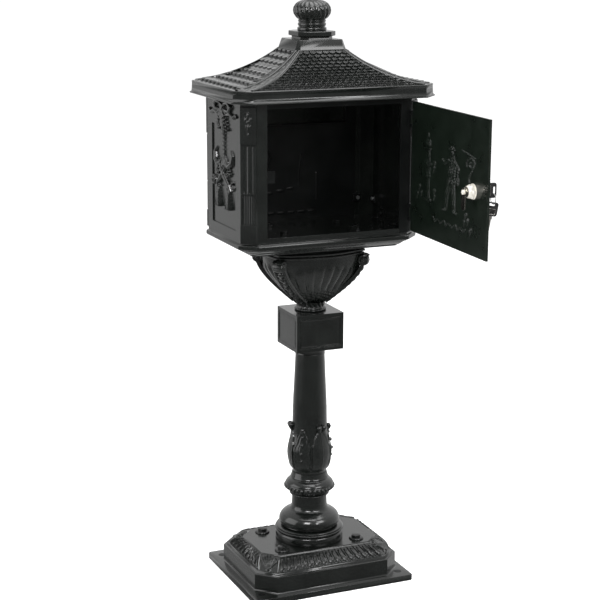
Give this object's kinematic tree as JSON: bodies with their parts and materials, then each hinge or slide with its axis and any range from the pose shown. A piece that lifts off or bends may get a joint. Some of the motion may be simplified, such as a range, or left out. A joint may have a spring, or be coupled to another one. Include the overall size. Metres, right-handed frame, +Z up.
{
  "type": "pedestal mailbox",
  "caption": "Free-standing mailbox: a lockable cast box with a hipped roof and swinging door on an ornamental post and bolted base.",
  "frame": {"origin": "on the ground at the centre of the four anchor holes, under the middle of the post", "axes": "+Z up, -Y towards the person at the access door, +Y the mail slot side, +X to the right of the person at the door"},
  "size_m": [0.41, 0.566, 1.15],
  "materials": {
    "painted_casting": "semi-gloss dark green-black powder coat on cast aluminium",
    "painted_fastener": "black oxide and paint, semi-gloss",
    "zinc_steel": "zinc plated",
    "nickel": "bright nickel plate",
    "key": "steel blade under a black moulded head",
    "ring_wire": "polished wire"
  },
  "bodies": {
    "root": {"base_casting": "painted_casting", "anchor_plate": "zinc_steel", "base_bolts": "painted_fastener", "base_washers": "painted_fastener", "base_nuts": "zinc_steel", "post_socle": "painted_casting", "post_bell": "painted_casting", "beaded_collar": "painted_casting", "leaf_vase": "painted_casting", "post_shaft": "painted_casting", "shaft_collar": "painted_casting", "capital_block": "painted_casting", "tie_rod": "zinc_steel", "tie_rod_nuts": "zinc_steel", "tie_rod_washers": "zinc_steel", "bowl_neck": "painted_casting", "bowl_shell": "painted_casting", "bowl_ribs": "painted_casting", "bowl_rim": "painted_casting", "under_tray": "painted_casting", "floor_tray": "painted_casting", "tray_bolts": "painted_fastener", "tray_nuts": "zinc_steel", "front_left_pilaster": "painted_casting", "front_right_pilaster": "painted_casting", "rear_left_pilaster": "painted_casting", "rear_right_pilaster": "painted_casting", "left_panel": "painted_casting", "right_panel": "painted_casting", "rear_panel": "painted_casting", "door_header": "painted_casting", "door_sill": "painted_casting", "panel_screws": "zinc_steel", "angle_brackets": "zinc_steel", "bracket_screws": "zinc_steel", "slot_bezel": "painted_casting", "slot_screws": "zinc_steel", "flap_pin": "zinc_steel", "flap_springs": "zinc_steel", "roof_shell": "painted_casting", "finial_plinth": "painted_casting", "finial_ball": "painted_casting", "finial_stud": "zinc_steel", "finial_nut": "zinc_steel", "hinge_pins": "zinc_steel", "strike_plate": "zinc_steel", "strike_screws": "zinc_steel"},
    "door": {"door_panel": "painted_casting", "lock_body": "nickel", "lock_washer": "nickel", "lock_nut": "nickel"},
    "lock_plug": {"lock_plug": "nickel", "lock_cam": "nickel", "cam_screw": "nickel"},
    "door_key": {"door_key": "key"},
    "key_ring": {"key_ring": "ring_wire"},
    "spare_key": {"spare_key": "key"},
    "slot_flap": {"slot_flap": "painted_casting"}
  },
  "joints": [
    {"name": "door_hinge", "type": "hinge", "parent": "root", "child": "door", "pos_m": [0.1575, -0.1147, 0.8305], "axis": [0, 0, 1], "range_deg": [-88, 22]},
    {"name": "lock_turn", "type": "hinge", "parent": "door", "child": "lock_plug", "pos_m": [0.14793, -0.37152, 0.822], "axis": [-0.9994, 0.0349, 0], "range_deg": [0, 90]},
    {"name": "key_pull", "type": "slide", "parent": "lock_plug", "child": "door_key", "axis": [0.9994, -0.0349, 0], "range_m": [0, 0.025]},
    {"name": "ring_swing", "type": "hinge", "parent": "door_key", "child": "key_ring", "pos_m": [0.18391, -0.37278, 0.8139], "axis": [-0.9994, 0.0349, 0], "range_deg": [-35, 35]},
    {"name": "spare_key_swing", "type": "hinge", "parent": "key_ring", "child": "spare_key", "pos_m": [0.18391, -0.37278, 0.7994], "axis": [-0.9994, 0.0349, 0], "range_deg": [-35, 35]},
    {"name": "flap_hinge", "type": "hinge", "parent": "root", "child": "slot_flap", "pos_m": [0, 0.1156, 0.93], "axis": [1, 0, 0], "range_deg": [0, 80], "stiffness_Nm_per_rad": 0.04, "springref_deg": -20.05}
  ]
}
